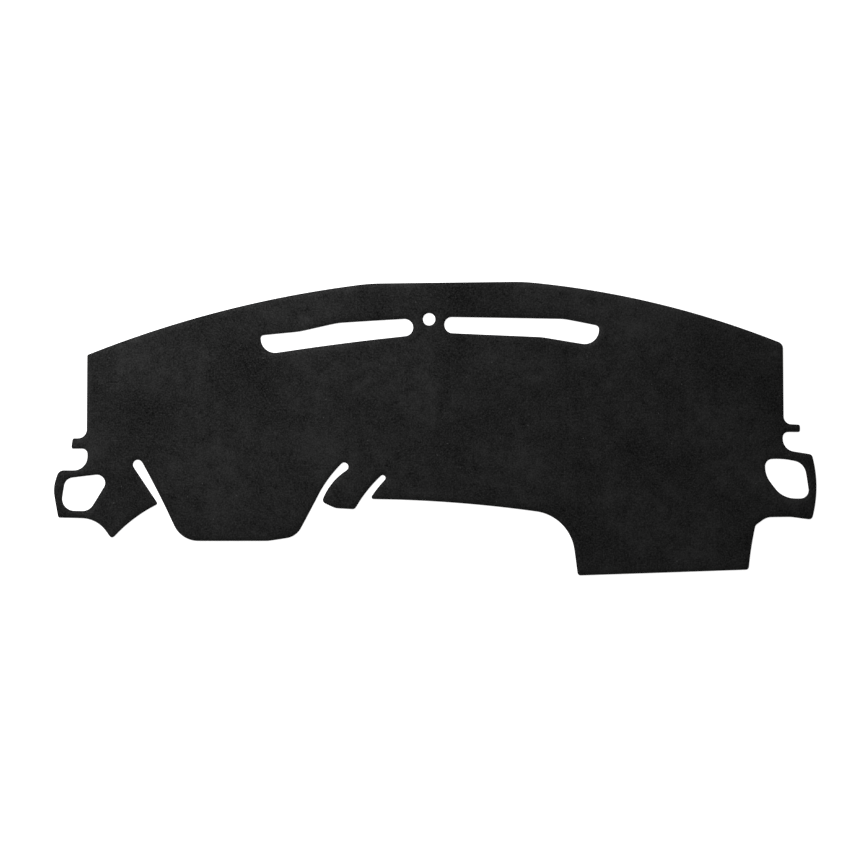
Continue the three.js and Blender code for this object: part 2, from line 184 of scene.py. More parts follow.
class Canvas:
    """A shader or geometry node tree that is being built."""

    def __init__(self, tree: bpy.types.NodeTree) -> None:
        """Holds the tree."""
        self.tree = tree

    def add(self, kind: str, settings: dict[str, Any], inputs: dict[int | str, Any]) -> Wire:
        """Adds a node, makes its settings and then fills its inputs.

        Args:
            kind: The node's type.
            settings: The node's properties.
            inputs: Values or wires, by the input's index, identifier or name.

        Returns:
            The wire of the node's first output that is in use.
        """
        node = self.tree.nodes.new(kind)
        for name, value in settings.items():
            setattr(node, name, value)
        for key, value in inputs.items():
            socket = node.inputs[key] if isinstance(key, int) else self._named(node, key)
            if isinstance(value, Wire):
                self.tree.links.new(value.socket, socket)
            else:
                socket.default_value = value
        outputs = [socket for socket in node.outputs if socket.enabled]
        return Wire(self, outputs[0] if outputs else None)

    @staticmethod
    def _named(node: bpy.types.Node, key: str) -> bpy.types.NodeSocket:
        """The input with that identifier, or else with that name."""
        by_identifier = [socket for socket in node.inputs if socket.identifier == key]
        return by_identifier[0] if by_identifier else node.inputs[key]

    def feed(self, node: bpy.types.Node, inputs: dict[str, Wire]) -> None:
        """Links wires to a node that is there already, by the names of its inputs."""
        for name, wire in inputs.items():
            self.tree.links.new(wire.socket, node.inputs[name])

    def _noise_node(self, at: Wire, size: Operand, detail: float, roughness: float) -> Wire:
        """Adds a node of noise across the sheet.

        Args:
            at: The place on the sheet.
            size: About how wide a lump of the noise is.
            detail: How many finer layers of noise are added.
            roughness: How strong the finer layers are.

        Returns:
            The noise, from 0 to 1.
        """
        inputs = {"Vector": at, "Scale": 1 / size, "Detail": detail, "Roughness": roughness}
        return self.add("ShaderNodeTexNoise", {"noise_dimensions": "2D"}, inputs)

    def noise(self, at: Wire, size: Operand, detail: float = 2.0, roughness: float = 0.5) -> Wire:
        """Noise across the sheet, from -0.5 to 0.5, whose lumps are about as wide as size."""
        return self._noise_node(at, size, detail, roughness) - MIDDLE

    def drift(self, at: Wire, size: float, detail: float = 1.0, roughness: float = 0.5) -> Wire:
        """A vector of noise across the sheet, each part of it from -0.5 to 0.5."""
        return self._noise_node(at, size, detail, roughness).output("Color") - MIDDLE

    def ramp(self, value: Wire, low: float, high: float) -> Wire:
        """A smooth rise from 0 where value is low to 1 where it is high."""
        inputs = {"Value": value, "From Min": low, "From Max": high}
        return self.add("ShaderNodeMapRange", {"interpolation_type": "SMOOTHSTEP"}, inputs)

    def fall(self, value: Wire, low: float, high: float) -> Wire:
        """A smooth fall from 1 where value is low to 0 where it is high."""
        return 1 - self.ramp(value, low, high)

    def turned(self, at: Wire, angle: Operand, centre: Operand = (0.0, 0.0, 0.0)) -> Wire:
        """A place turned about a centre in the sheet's plane."""
        inputs = {"Vector": at, "Center": centre, "Angle": angle}
        return self.add("ShaderNodeVectorRotate", {"rotation_type": "Z_AXIS"}, inputs)

    def cells(self, at: Wire, size: float) -> tuple[Wire, Wire]:
        """Divides the sheet into cells.

        Args:
            at: The place on the sheet.
            size: About how wide a cell is.

        Returns:
            The centre of the cell that the place is in, and the cell's own chance from 0 to 1.
        """
        settings = {"voronoi_dimensions": "2D", "feature": "F1"}
        cell = self.add("ShaderNodeTexVoronoi", settings, {"Vector": at, "Scale": 1 / size})
        centre = cell.output("Position")
        chance = self.add("ShaderNodeTexWhiteNoise", {"noise_dimensions": "2D"}, {"Vector": centre})
        return centre, chance


class Finish:
    """What every finish shares: a material with a Principled shader, and Object coordinates to draw on."""

    @staticmethod
    def new_material(name: str) -> tuple[bpy.types.Material, Canvas, bpy.types.Node]:
        """Makes a material.

        Args:
            name: The material's name.

        Returns:
            The material, a canvas on its tree, and its Principled shader.
        """
        material = bpy.data.materials.new(name)
        material.use_nodes = True
        shader = next(node for node in material.node_tree.nodes if node.type == "BSDF_PRINCIPLED")
        return material, Canvas(material.node_tree), shader

    @staticmethod
    def set_constants(shader: bpy.types.Node, **values: float | tuple[float, ...]) -> None:
        """Sets the shader's own sockets.

        Args:
            shader: The Principled shader.
            values: The sockets' values, each under the socket's name in lower case with underscores.
        """
        for name, value in values.items():
            socket = next(each for each in shader.inputs if each.name.lower().replace(" ", "_") == name)
            socket.default_value = value

    @staticmethod
    def object_place(canvas: Canvas) -> Wire:
        """The point's place on the object."""
        return canvas.add("ShaderNodeTexCoord", {}, {}).output("Object")

    @staticmethod
    def blend(canvas: Canvas, share: Operand, first: Operand, second: Operand, how: str = "MIX") -> Wire:
        """Blends two colours.

        Args:
            canvas: Where the node goes.
            share: How much of the second colour shows, from 0 to 1.
            first: A colour or its wire.
            second: A colour or its wire.
            how: The Mix node's blend type.

        Returns:
            The colour's wire.
        """
        opaque = [colour if isinstance(colour, Wire) else (*colour, 1.0) for colour in (first, second)]
        settings = {"data_type": "RGBA", "blend_type": how}
        inputs = {"Factor_Float": share, "A_Color": opaque[0], "B_Color": opaque[1]}
        return canvas.add("ShaderNodeMix", settings, inputs).output("Result")

    @classmethod
    def toned(cls, canvas: Canvas, tone: Wire, colour: Triple) -> Wire:
        """A colour made darker or lighter: black at a tone of 0, itself at 0.5 and twice itself at 1."""
        return cls.blend(canvas, tone, (0.0, 0.0, 0.0), tuple(part / MIDDLE for part in colour))

    @staticmethod
    def bump(canvas: Canvas, height: Wire) -> Wire:
        """The surface's direction where it has that height in metres."""
        return canvas.add("ShaderNodeBump", {}, {"Strength": 1.0, "Distance": 1.0, "Height": height})


@dataclass(frozen=True)
class CrushedNap(Finish):
    """Black brushed fabric, whose nap was pressed in directions that change from place to place.

    Sizes and widths are in metres. Each tone says how much its mark changes the colour, each relief how much
    its mark adds to the nap's height, and each share how many of its cells have a mark.
    """

    colour: Triple = (0.0118, 0.0118, 0.0118)
    fibre_detail: float = 2.0
    fibre_roughness: float = 0.6
    stroke_count: int = 4
    stroke_length: float = 0.014
    stroke_width: float = 0.0040
    stroke_overlap: float = 0.2
    stroke_tone: float = 0.40
    stroke_relief: float = 0.3
    drift_size: float = 0.25
    drift_turn: float = 4 * math.pi
    tuft_patch: float = 0.010
    tuft_length: float = 0.0055
    tuft_width: float = 0.0022
    tuft_tone: float = 0.92
    tuft_relief: float = 0.7
    grain_size: float = 0.0032
    grain_tone: float = 0.98
    grain_relief: float = 0.5
    tip_lift: float = 2.0
    mottle_size: float = 0.030
    mottle_detail: float = 3.0
    mottle_roughness: float = 0.75
    mottle_tone: float = 0.65
    mottle_least: float = 0.6
    mottle_rise: float = 0.8
    mottle_edge: float = 0.15
    cloud_size: float = 0.16
    cloud_tone: float = 0.70
    wander: float = 0.006
    wander_size: float = 0.022
    crease_spread: float = 0.035
    crease_width: float = 0.012
    crease_patch: float = 0.12
    # The creases' tone is painted shade: it darkens the colour along the crease lines.
    crease_shade_tone: float = 0.30
    crease_depth: float = 0.0003
    pit_spread: float = 0.011
    pit_reach: float = 0.0026
    pit_share: float = 0.20
    pit_tone: float = 0.36
    pit_tint: Triple = (0.93, 0.95, 1.10)
    lint_spread: float = 0.040
    lint_length: float = 0.0022
    lint_width: float = 0.0010
    lint_core: float = 0.3
    lint_share: float = 0.22
    lint_turn: float = 100.0
    lint_colour: Triple = (0.065, 0.065, 0.065)
    # The rim band is painted sheen: a lighter band of colour along the cut edge.
    rim_sheen_start: float = 0.0015
    rim_sheen_full: float = 0.0040
    rim_sheen_end: float = 0.0130
    rim_sheen_tone: float = 0.05
    nap_relief: float = 0.0007
    roughness: float = 0.86
    stroke_gloss: float = 0.1
    sheen: float = 0.12
    sheen_roughness: float = 0.45
    specular: float = 0.04

    def fibres(self, canvas: Canvas, at: Wire, length: float, width: float) -> Wire:
        """Noise drawn out along X, so that its lumps have that length and width."""
        drawn_out = at * (width / length, 1.0, 1.0)
        return canvas.noise(drawn_out, width, self.fibre_detail, self.fibre_roughness)

    def strokes(self, canvas: Canvas, place: Wire, bent: Wire) -> Wire:
        """The strokes of the brush, which run in a few directions and give way to each other smoothly.

        Args:
            canvas: Where the nodes go.
            place: The place on the sheet.
            bent: The same place, moved a little so that the strokes wander.

        Returns:
            The strokes' noise.
        """
        lean = canvas.noise(place, self.drift_size, 1.0) * self.drift_turn
        total = None
        for number in range(self.stroke_count):
            heading = math.pi * number / self.stroke_count
            along = canvas.turned(bent, heading)
            strength = canvas.ramp((lean - 2 * heading).function("COSINE"), -self.stroke_overlap, 1.0)
            layer = self.fibres(canvas, along, self.stroke_length, self.stroke_width) * strength
            total = layer if total is None else total + layer
        return total

    def tufts(self, canvas: Canvas, at: Wire) -> Wire:
        """Short tufts that lie in one direction in each small patch."""
        centre, chance = canvas.cells(at, self.tuft_patch)
        along = canvas.turned(at, chance * math.pi, centre)
        return self.fibres(canvas, along, self.tuft_length, self.tuft_width)

    def mottle(self, canvas: Canvas, place: Wire, bent: Wire) -> Wire:
        """Mottling that is stronger in some wide patches than in others.

        Args:
            canvas: Where the nodes go.
            place: The place on the sheet.
            bent: The same place, moved a little so that the mottling wanders.

        Returns:
            The mottling's noise.
        """
        patches = canvas.ramp(canvas.noise(place, self.cloud_size, 1.0), -self.mottle_edge, self.mottle_edge)
        strength = self.mottle_least + patches * self.mottle_rise
        return canvas.noise(bent, self.mottle_size, self.mottle_detail, self.mottle_roughness) * strength

    def creases(self, canvas: Canvas, place: Wire, bent: Wire) -> Wire:
        """Fine bent lines in patches, which the bump presses in and which are darkened with painted shade.

        Args:
            canvas: Where the nodes go.
            place: The place on the sheet.
            bent: The same place, moved a little so that the lines wander.

        Returns:
            The wire of 1 on a line and 0 off it.
        """
        level = canvas.noise(bent, self.crease_spread, 1.0).function("ABSOLUTE")
        patches = canvas.ramp(canvas.noise(place, self.crease_spread, 1.0), 0.0, self.crease_patch)
        return canvas.fall(level, 0.0, self.crease_width) * patches

    def pits(self, canvas: Canvas, at: Wire) -> Wire:
        """Small spots where the nap parts, 1 in their middle and 0 off them."""
        centre, chance = canvas.cells(at, self.pit_spread)
        spot = canvas.fall((at - centre).length(), 0.0, self.pit_reach)
        return spot * canvas.ramp(chance, 1 - self.pit_share, 1.0)

    def lint(self, canvas: Canvas, at: Wire) -> Wire:
        """A few pale flecks of lint, up to 1 on a fleck and 0 off it."""
        centre, chance = canvas.cells(at, self.lint_spread)
        across = canvas.turned(at, chance * self.lint_turn, centre) - centre
        reach = (across * (1 / self.lint_length, 1 / self.lint_width, 0.0)).length()
        return canvas.fall(reach, self.lint_core, 1.0) * canvas.ramp(chance, 1 - self.lint_share, 1.0)

    def rim(self, canvas: Canvas) -> Wire:
        """A band beside the cut edge that is painted lighter as sheen, where the nap catches light, 1 in its
        middle and 0 off it.
        """
        reach = canvas.add("ShaderNodeAttribute", {"attribute_name": EDGE_DISTANCE}, {}).output("Fac")
        rise = canvas.ramp(reach, self.rim_sheen_start, self.rim_sheen_full)
        return rise * canvas.fall(reach, self.rim_sheen_full, self.rim_sheen_end)

    def material(self) -> bpy.types.Material:
        """Makes the material.

        Returns:
            The material, which reads the sheet's distance from its edge.
        """
        material, canvas, shader = self.new_material("crushed_black_nap")
        place = self.object_place(canvas)
        bent = place + canvas.drift(place, self.wander_size) * self.wander
        strokes = self.strokes(canvas, place, bent)
        tufts = self.tufts(canvas, bent)
        grain = canvas.noise(place, self.grain_size, 1.0)
        tips = grain + grain * grain * self.tip_lift
        creases = self.creases(canvas, place, bent)
        pits = self.pits(canvas, bent)
        tone = (
            MIDDLE
            + strokes * self.stroke_tone
            + tufts * self.tuft_tone
            + tips * self.grain_tone
            + self.mottle(canvas, place, bent) * self.mottle_tone
            + canvas.noise(place, self.cloud_size) * self.cloud_tone
            # Painted sheen: the colour is made lighter in a band along the cut edge.
            + self.rim(canvas) * self.rim_sheen_tone
            # Painted shade: the colour is darkened along the crease lines.
            - creases * self.crease_shade_tone
            - pits * self.pit_tone
        )
        lit = self.toned(canvas, tone, self.colour)
        cool = self.blend(canvas, pits, lit, self.pit_tint, "MULTIPLY")
        flecked = self.blend(canvas, self.lint(canvas, place), cool, self.lint_colour)
        nap = strokes * self.stroke_relief + tufts * self.tuft_relief + grain * self.grain_relief
        height = nap * self.nap_relief - creases * self.crease_depth
        rough = self.roughness - strokes * self.stroke_gloss
        canvas.feed(shader, {"Base Color": flecked, "Roughness": rough, "Normal": self.bump(canvas, height)})
        self.set_constants(
            shader,
            sheen_weight=self.sheen,
            sheen_roughness=self.sheen_roughness,
            specular_ior_level=self.specular,
        )
        return material


@dataclass(frozen=True)
class FeltBacking(Finish):
    """The plain felted back of the fabric."""

    colour: Triple = (0.020, 0.020, 0.021)
    fibre_size: float = 0.0012
    fibre_detail: float = 2.0
    fibre_roughness: float = 0.7
    fibre_tone: float = 1.2
    fibre_relief: float = 0.0001
    lump_size: float = 0.006
    lump_tone: float = 0.7
    lump_relief: float = 0.0002
    roughness: float = 0.95
    specular: float = 0.04

    def material(self) -> bpy.types.Material:
        """Makes the material.

        Returns:
            The material.
        """
        material, canvas, shader = self.new_material("black_felt_back")
        place = self.object_place(canvas)
        fibres = canvas.noise(place, self.fibre_size, self.fibre_detail, self.fibre_roughness)
        lumps = canvas.noise(place, self.lump_size)
        tone = MIDDLE + fibres * self.fibre_tone + lumps * self.lump_tone
        felt = self.toned(canvas, tone, self.colour)
        height = fibres * self.fibre_relief + lumps * self.lump_relief
        canvas.feed(shader, {"Base Color": felt, "Normal": self.bump(canvas, height)})
        self.set_constants(shader, roughness=self.roughness, specular_ior_level=self.specular)
        return material


@dataclass(frozen=True)
class PaleFloor(Finish):
    """A floor that looks white to the camera and in reflections, and keeps the mat's shadow."""

    grey: float = 0.8
    glow: float = 0.76

    def material(self) -> bpy.types.Material:
        """Makes the material.

        Returns:
            The material.
        """
        material, canvas, shader = self.new_material("pale_floor")
        path = canvas.add("ShaderNodeLightPath", {}, {})
        rays = ("Is Camera Ray", "Is Glossy Ray", "Is Transmission Ray")
        camera, glossy, transmission = (path.output(name) for name in rays)
        seen = camera + glossy + transmission
        self.set_constants(
            shader,
            base_color=(self.grey, self.grey, self.grey, 1.0),
            roughness=1.0,
            specular_ior_level=0.0,
            emission_color=(1.0, 1.0, 1.0, 1.0),
        )
        canvas.feed(shader, {"Emission Strength": seen.least(1.0) * self.glow})
        return material


@dataclass
class CutOutline:
    """The mat's cut edge and its openings, each a loop of points with the sheet on its left."""

    loops: list[np.ndarray]

    upright: ClassVar[float] = 0.01
    step_turn: ClassVar[float] = 0.15
    sharpest: ClassVar[float] = 0.5

    @classmethod
    def of_node(cls, node: bpy.types.Object, longest: float) -> CutOutline:
        """Reads the loops along the foot of the solid's upright edge.

        Args:
            node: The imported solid's object, whose mesh is left alone.
            longest: The longest step between two points of a loop.

        Returns:
            The outline.
        """
        solid = bmesh.new()
        solid.from_mesh(node.data)
        bmesh.ops.remove_doubles(solid, verts=solid.verts, dist=TOUCHING)
        walls = [face for face in solid.faces if abs(face.normal.z) < cls.upright]
        foot = min(vertex.co.z for face in walls for vertex in face.verts)
        follows: dict[Pair, Pair] = {}
        for wall in walls:
            ends = [vertex.co for vertex in wall.verts if abs(vertex.co.z - foot) < TOUCHING]
            if len(ends) == 2:
                start, end = ends
                run = end - start
                if Vector((-run.y, run.x, 0)).dot(wall.normal) > 0:
                    start, end = end, start
                follows[(start.x, start.y)] = (end.x, end.y)
        solid.free()
        loops = []
        while follows:
            point, after = follows.popitem()
            loop = [point]
            while after in follows:
                loop.append(after)
                after = follows.pop(after)
            loops.append(cls.smoothed(np.array(loop), longest))
        loops.sort(key=len, reverse=True)
        return cls(loops)

    @classmethod
    def smoothed(cls, loop: np.ndarray, longest: float) -> np.ndarray:
        """Draws a smooth curve through a loop's points.

        At each point the turn is shared between the two chords that meet there, and the shorter takes more
        of it, so a straight run stays straight up to the rounding that it meets.

        Args:
            loop: The points.
            longest: The longest step between two points of the curve.

        Returns:
            The curve's points, the loop's own among them.
        """
        chord = np.roll(loop, -1, axis=0) - loop
        before = np.roll(chord, 1, axis=0)
        size = np.linalg.norm(chord, axis=1)
        size_before = np.roll(size, 1)
        cross = before[:, 0] * chord[:, 1] - before[:, 1] * chord[:, 0]
        turn = np.arctan2(cross, (before * chord).sum(axis=1))
        leaving = turn * size_before / (size + size_before)
        arriving = np.roll(turn - leaving, -1)
        steps = np.maximum(size / longest, np.abs(leaving + arriving) / cls.step_turn)
        counts = np.maximum(np.ceil(steps).astype(int), 1)
        points = []
        for start, run, out, back, count in zip(loop, chord, leaving, arriving, counts):
            share = (np.arange(count) / count)[:, None]
            swell = out * share * (1 - share) ** 2 + back * share**2 * (1 - share)
            points.append(start + run * share + np.array([run[1], -run[0]]) * swell)
        return np.concatenate(points)

    @staticmethod
    def with_steps(loop: np.ndarray, longest: float) -> np.ndarray:
        """Adds points between a loop's own, on the straight lines between them.

        Args:
            loop: The points.
            longest: The longest step between two points.

        Returns:
            The loop's points and those added.
        """
        points = []
        for start, end in zip(loop, np.roll(loop, -1, axis=0)):
            steps = max(1, math.ceil(np.linalg.norm(end - start) / longest))
            points.extend(start + (end - start) * np.arange(steps)[:, None] / steps)
        return np.array(points)

    def inset(self, distance: float) -> np.ndarray:
        """Moves the points of every loop into the sheet.

        Args:
            distance: How far from the edge they come to lie, apart from those at sharp corners.

        Returns:
            The moved points of all loops.
        """
        moved = []
        for loop in self.loops:
            way = np.roll(loop, -1, axis=0) - loop
            way /= np.linalg.norm(way, axis=1)[:, None]
            left = np.stack([-way[:, 1], way[:, 0]], axis=1)
            bisector = left + np.roll(left, 1, axis=0)
            bisector /= np.linalg.norm(bisector, axis=1)[:, None]
            squareness = np.maximum((bisector * left).sum(axis=1), self.sharpest)
            moved.append(loop + bisector * (distance / squareness)[:, None])
        return np.concatenate(moved)

    def row_spans(self, ahead: float) -> list[Pair]:
        """Finds the stretches of a line across the mat that lie in the sheet.

        Args:
            ahead: How far ahead the line is.

        Returns:
            Where each stretch starts and ends.
        """
        crossings = []
        for loop in self.loops:
            after = np.roll(loop, -1, axis=0)
            crosses = (loop[:, 1] > ahead) != (after[:, 1] > ahead)
            start, end = loop[crosses], after[crosses]
            share = (ahead - start[:, 1]) / (end[:, 1] - start[:, 1])
            crossings.extend(start[:, 0] + share * (end[:, 0] - start[:, 0]))
        crossings.sort()
        return list(zip(crossings[::2], crossings[1::2]))

    def holds(self, points: np.ndarray) -> np.ndarray:
        """Tells which points lie in the sheet.

        Args:
            points: The points.

        Returns:
            True for each point that lies in it.
        """
        inside = np.zeros(len(points), bool)
        for loop in self.loops:
            for (x1, y1), (x2, y2) in zip(loop, np.roll(loop, -1, axis=0)):
                if y1 != y2:
                    crosses = (points[:, 1] < y1) != (points[:, 1] < y2)
                    at = x1 + (points[:, 1] - y1) / (y2 - y1) * (x2 - x1)
                    inside ^= crosses & (points[:, 0] < at)
        return inside

    def smallest_hole(self) -> Pair:
        """The centre of the smallest opening, which is the sensor hole."""
        hole = min(self.loops, key=lambda loop: np.ptp(loop, axis=0).max())
        across, ahead = (hole.min(axis=0) + hole.max(axis=0)) / 2
        return float(across), float(ahead)


class EdgeGauge:
    """Measures how far a point is from the nearest cut edge."""

    def __init__(self, outline: CutOutline, step: float = 0.0004) -> None:
        """Marks the edges at every step."""
        marks = np.concatenate([outline.with_steps(loop, step) for loop in outline.loops])
        self.tree = KDTree(len(marks))
        for index, (x, y) in enumerate(marks):
            self.tree.insert((x, y, 0.0), index)
        self.tree.balance()

    def distances(self, points: np.ndarray) -> np.ndarray:
        """The distance of each point from the nearest edge."""
        return np.array([self.tree.find((x, y, 0.0))[2] for x, y in points])


@dataclass(frozen=True)
class FlatLayer:
    """One side of the sheet, meshed flat: its points, their distances from the edge, and its triangles.

    The outline's own points come first.
    """

    points: np.ndarray
    reaches: np.ndarray
    triangles: np.ndarray


@dataclass
class SheetFabric:
    """The fabric sheet, from its cut outline to its dressed mesh.

    The rows are the places of the points beside the edge, as shares of the roll's width on their side.
    """

    flat_size: Pair = (1.5, 0.5776)
    flat_area: float = 0.595
    thickness: float = 0.0042
    rim_height: float = 0.0012
    roll_width: float = 0.012
    back_roll_width: float = 0.0018
    swell_height: float = 0.0010
    swell_size: float = 0.12
    nap_height: float = 0.0008
    nap_size: float = 0.009
    edge_step: float = 0.0035
    face_step: float = 0.0034
    back_step: float = 0.014
    face_rows: tuple[float, ...] = (0.012, 0.05, 0.12, 0.23, 0.38, 0.58, 0.8)
    back_rows: tuple[float, ...] = (0.1, 0.4, 1.0)
    row_slack: float = 0.00005
    row_crowding: float = 0.25
    least_area: float = 1e-9
    least_gap: float = 1e-7
    unevenness: float = 0.25
    seed: int = 7

    def _grid(self, outline: CutOutline, step: float) -> np.ndarray:
        """Places points all over the sheet, in staggered rows that are shaken a little.

        Args:
            outline: The cut edge.
            step: How far apart the points are.

        Returns:
            The points.
        """
        ahead = np.concatenate(outline.loops)[:, 1]
        grid = []
        for number, row in enumerate(np.arange(ahead.min(), ahead.max(), step * math.sqrt(3) / 2)):
            stagger = (number % 2) / 2
            for start, end in outline.row_spans(row + TOUCHING):
                first = math.ceil(start / step + stagger) - stagger
                across = np.arange(first * step, end, step)
                grid.append(np.stack([across, np.full(len(across), row)], axis=1))
        points = np.concatenate(grid)
        chance = np.random.default_rng(self.seed)
        return points + chance.uniform(-1, 1, points.shape) * step * self.unevenness

    @staticmethod
    def _apart(points: np.ndarray, gap: float) -> np.ndarray:
        """Takes out points that crowd another, in two passes over squares.

        Args:
            points: The points.
            gap: The width of a square, which keeps one point.

        Returns:
            The points that are left, in their order.
        """
        for shift in (0.0, 0.5):
            squares = np.floor(points / gap + shift)
            first = np.unique(squares, axis=0, return_index=True)[1]
            points = points[np.sort(first)]
        return points

    def _triangles(self, outline: CutOutline, points: np.ndarray) -> np.ndarray:
        """Joins points to triangles inside the outline.

        Args:
            outline: The cut edge.
            points: The outline's own points, and then the others.

        Returns:
            The triangles, without those outside the edge and the slivers along its straight runs.
        """
        edges, placed = [], 0
        for loop in outline.loops:
            edges.extend((placed + i, placed + (i + 1) % len(loop)) for i in range(len(loop)))
            placed += len(loop)
        made = delaunay_2d_cdt([Vector(point) for point in points], edges, [], 0, self.least_gap)
        if len(made[0]) != len(points):
            raise ValueError(f"the triangulation changed {len(points)} points into {len(made[0])}")
        triangles = np.array(made[2])
        corners = points[triangles]
        one, other = corners[:, 1] - corners[:, 0], corners[:, 2] - corners[:, 0]
        kept = np.abs(one[:, 0] * other[:, 1] - one[:, 1] * other[:, 0]) > 2 * self.least_area
        at_rim = (triangles < placed).all(axis=1)
        kept[at_rim] &= outline.holds(corners[at_rim].mean(axis=1))
        return triangles[kept]

    def _layer(self, outline: CutOutline, gauge: EdgeGauge, insets: list[float], step: float) -> FlatLayer:
        """Meshes the inside of the outline.

        Args:
            outline: The cut edge.
            gauge: Measures distances from it.
            insets: How far in each row of points beside the edge lies.
            step: The distance between the points inside those rows.

        Returns:
            The layer, without the row points that would come nearer to another edge.
        """
        rim = np.concatenate(outline.loops)
        points, reaches = [rim], [np.zeros(len(rim))]
        for inset in insets:
            row = outline.inset(inset)
            clear = gauge.distances(row) > inset - self.row_slack
            row = self._apart(row[clear], inset * self.row_crowding)
            points.append(row)
            reaches.append(np.full(len(row), inset))
        grid = self._grid(outline, step)
        reach = gauge.distances(grid)
        clear = reach > insets[-1] + step / 2
        points = np.concatenate([*points, grid[clear]])
        reaches = np.concatenate([*reaches, reach[clear]])
        return FlatLayer(points, reaches, self._triangles(outline, points))

    def flat_mesh(self, outline: CutOutline) -> bpy.types.Object:
        """Makes the closed sheet with no height yet.

        Args:
            outline: The cut edge.

        Returns:
            The sheet's object. Its points carry their distance from the edge and their side.
        """
        gauge = EdgeGauge(outline)
        face_insets = [self.roll_width * row for row in self.face_rows]
        back_insets = [self.back_roll_width * row for row in self.back_rows]
        face = self._layer(outline, gauge, face_insets, self.face_step)
        back = self._layer(outline, gauge, back_insets, self.back_step)
        rim = sum(len(loop) for loop in outline.loops)
        shift = len(face.points) - rim
        back_triangles = np.where(back.triangles < rim, back.triangles, back.triangles + shift)[:, ::-1]
        points = np.concatenate([face.points, back.points[rim:]])
        sides = np.full(len(points), Side.FACE.value)
        sides[:rim] = Side.RIM.value
        sides[len(face.points) :] = Side.BACK.value
        mesh = bpy.data.meshes.new("fabric_sheet")
        corners = [(x, y, 0.0) for x, y in points]
        mesh.from_pydata(corners, [], [*face.triangles.tolist(), *back_triangles.tolist()])
        reaches = np.concatenate([face.reaches, back.reaches[rim:]])
        for name, values in ((EDGE_DISTANCE, reaches), (SIDE, sides)):
            mesh.attributes.new(name, "FLOAT", "POINT").data.foreach_set("value", values)
        sheet = bpy.data.objects.new("fabric_sheet", mesh)
        bpy.context.scene.collection.objects.link(sheet)
        return sheet

    def section_values(self) -> dict[str, Any]:
        """The section tree's inputs by name: the sheet's sizes, then its two finishes."""
        return {
            "Thickness": self.thickness,
            "Rim Height": self.rim_height,
            "Roll Width": self.roll_width,
            "Back Roll Width": self.back_roll_width,
            "Swell Height": self.swell_height,
            "Swell Size": self.swell_size,
            "Nap Height": self.nap_height,
            "Nap Size": self.nap_size,
            "Face Finish": CrushedNap().material(),
            "Back Finish": FeltBacking().material(),
        }

    @staticmethod
    def section_tree(values: dict[str, Any]) -> bpy.types.NodeTree:
        """Builds the geometry tree that gives the flat sheet its heights and its finishes.

        Args:
            values: The tree's inputs by name, which are numbers or materials.

        Returns:
            The tree.
        """
        tree = bpy.data.node_groups.new("sheet_section", "GeometryNodeTree")
        canvas = Canvas(tree)
        tree.interface.new_socket(name="Sheet", in_out="INPUT", socket_type="NodeSocketGeometry")
        for name, value in values.items():
            kind = "NodeSocketFloat" if isinstance(value, float) else "NodeSocketMaterial"
            tree.interface.new_socket(name=name, in_out="INPUT", socket_type=kind)
        tree.interface.new_socket(name="Sheet", in_out="OUTPUT", socket_type="NodeSocketGeometry")
        given = canvas.add("NodeGroupInput", {}, {})
        size = {name: given.output(name) for name in values}
        reach, side = (
            canvas.add("GeometryNodeInputNamedAttribute", {"data_type": "FLOAT"}, {"Name": name})
            for name in (EDGE_DISTANCE, SIDE)
        )
        place = canvas.add("GeometryNodeInputPosition", {}, {})

        def rise(width: Wire) -> Wire:
            """A rounded rise from 0 at the edge to 1 at that width."""
            short = 1 - (reach / width).least(1.0)
            return 1 - short * short

        lumps = canvas.noise(place, size["Swell Size"]) * size["Swell Height"]
        clumps = canvas.noise(place, size["Nap Size"]) * size["Nap Height"]
        roll = rise(size["Roll Width"])
        face = size["Rim Height"] + (size["Thickness"] - size["Rim Height"] + lumps + clumps) * roll
        back = size["Rim Height"] * (1 - rise(size["Back Roll Width"]))
        middle = (Side.RIM.value + Side.BACK.value) / 2
        is_back = canvas.add("ShaderNodeMath", {"operation": "LESS_THAN"}, {0: side, 1: middle})
        lift = canvas.add("ShaderNodeCombineXYZ", {}, {"Z": face + (back - face) * is_back})
        raised_inputs = {"Geometry": given.output("Sheet"), "Offset": lift}
        raised = canvas.add("GeometryNodeSetPosition", {}, raised_inputs)
        smooth = canvas.add("GeometryNodeSetShadeSmooth", {}, {"Geometry": raised})
        real = canvas.add("GeometryNodeRealizeInstances", {}, {"Geometry": smooth})
        face_inputs = {"Geometry": real, "Material": size["Face Finish"]}
        faced = canvas.add("GeometryNodeSetMaterial", {}, face_inputs)
        back_inputs = {"Geometry": faced, "Selection": is_back, "Material": size["Back Finish"]}
        backed = canvas.add("GeometryNodeSetMaterial", {}, back_inputs)
        canvas.add("NodeGroupOutput", {}, {"Sheet": backed})
        return tree

    def build(self, outline: CutOutline) -> bpy.types.Object:
        """Makes the dressed sheet.

        Args:
            outline: The cut edge.

        Returns:
            The sheet as a plain mesh object.
        """
        sheet = self.flat_mesh(outline)
        values = self.section_values()
        modifier = sheet.modifiers.new("section", "NODES")
        modifier.node_group = self.section_tree(values)
        for socket in modifier.node_group.interface.items_tree:
            if socket.in_out == "INPUT" and socket.name in values:
                modifier[socket.identifier] = values[socket.name]
        evaluated = sheet.evaluated_get(bpy.context.evaluated_depsgraph_get())
        mesh = bpy.data.meshes.new_from_object(evaluated)
        sheet.modifiers.clear()
        sheet.data = mesh
        mesh.name = sheet.name
        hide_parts(CAD_NODE)
        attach(sheet, BODY)
        return sheet


@dataclass(frozen=True)
class PhotoFrame:
    """Where the photograph has the mat, in pixels from its upper left corner."""

    side: float = 850.0
    mat_width: float = 762.37
    hole_across: float = 429.08
    hole_down: float = 319.30


